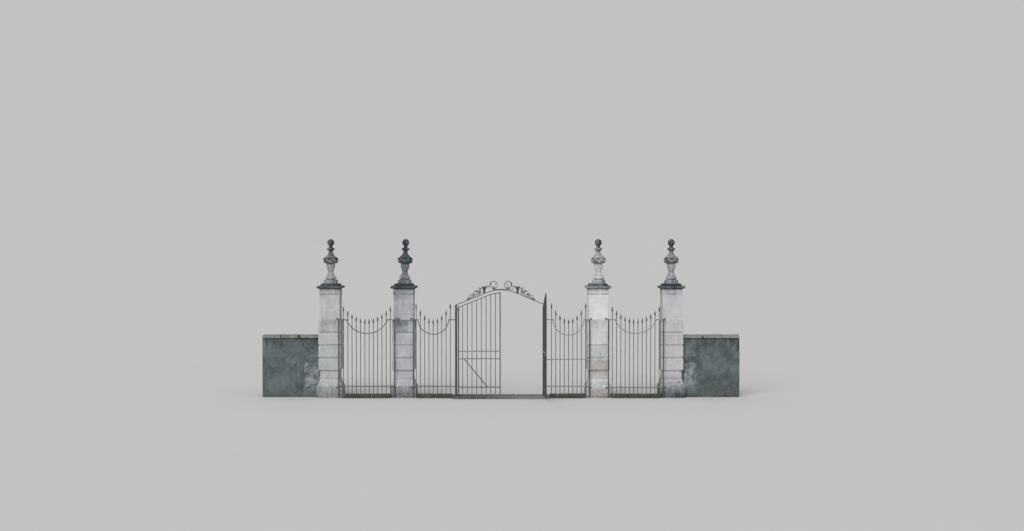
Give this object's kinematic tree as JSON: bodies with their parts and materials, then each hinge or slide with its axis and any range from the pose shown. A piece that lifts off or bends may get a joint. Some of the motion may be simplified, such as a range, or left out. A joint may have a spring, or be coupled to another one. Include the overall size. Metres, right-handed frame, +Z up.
{
  "type": "wrought iron driveway gate with stone piers",
  "caption": "Wrought iron driveway gate with two swinging leaves, a scrolled overthrow and swag-topped side panels, set between rusticated stone piers with urns.",
  "frame": {"origin": "middle of the gateway, on the underside of the threshold, in the plane of the ironwork", "axes": "+X to the right and +Y away, as seen from the garden side with the leaves opening towards the viewer; +Z up"},
  "size_m": [12.98, 1.8575, 4.298],
  "materials": {
    "pier_stone": "weathered pale limestone with dark crusts",
    "urn_stone": "weathered pale limestone with grey lichen",
    "wall_plaster": "old lime plaster over masonry, stained",
    "coping_stone": "weathered stone with moss",
    "kerb_stone": "worn stone with moss at its edges",
    "iron_painted": "old dark green-grey paint over forged iron, chalky and rusting",
    "iron_fittings": "dark worn paint over forged iron, greased at the bearings"
  },
  "bodies": {
    "gateway": {"pier_outer_left_base": "pier_stone", "pier_outer_left_shaft": "pier_stone", "pier_outer_left_cap": "pier_stone", "pier_outer_left_urn": "urn_stone", "pier_inner_left_base": "pier_stone", "pier_inner_left_shaft": "pier_stone", "pier_inner_left_cap": "pier_stone", "pier_inner_left_urn": "urn_stone", "pier_inner_right_base": "pier_stone", "pier_inner_right_shaft": "pier_stone", "pier_inner_right_cap": "pier_stone", "pier_inner_right_urn": "urn_stone", "pier_outer_right_base": "pier_stone", "pier_outer_right_shaft": "pier_stone", "pier_outer_right_cap": "pier_stone", "pier_outer_right_urn": "urn_stone", "wing_wall_left": "wall_plaster", "wing_wall_right": "wall_plaster", "wing_coping_left": "coping_stone", "wing_coping_right": "coping_stone", "threshold": "kerb_stone", "kerb_inner_left": "kerb_stone", "kerb_inner_right": "kerb_stone", "kerb_outer_left": "kerb_stone", "kerb_outer_right": "kerb_stone", "panel_outer_left": "iron_painted", "panel_inner_left": "iron_painted", "panel_inner_right": "iron_painted", "panel_outer_right": "iron_painted", "post_left": "iron_painted", "post_right": "iron_painted", "overthrow_arch": "iron_painted", "overthrow_scrolls": "iron_painted", "collar_left": "iron_fittings", "collar_right": "iron_fittings", "footstep_left": "iron_fittings", "footstep_right": "iron_fittings", "wall_cramps": "iron_painted"},
    "left_leaf": {"left_leaf_frame": "iron_painted", "left_leaf_bars": "iron_painted", "left_leaf_stay": "iron_painted", "left_leaf_bolt": "iron_fittings"},
    "right_leaf": {"right_leaf_frame": "iron_painted", "right_leaf_bars": "iron_painted", "right_leaf_stay": "iron_painted", "right_leaf_lock": "iron_fittings"}
  },
  "joints": [
    {"name": "left_leaf_swing", "type": "hinge", "parent": "gateway", "child": "left_leaf", "pos_m": [-1.145, 0, 0.06], "axis": [0, 0, 1], "range_deg": [-100, 0]},
    {"name": "right_leaf_swing", "type": "hinge", "parent": "gateway", "child": "right_leaf", "pos_m": [1.145, 0, 0.06], "axis": [0, 0, 1], "range_deg": [-92.5, 7.5]}
  ]
}
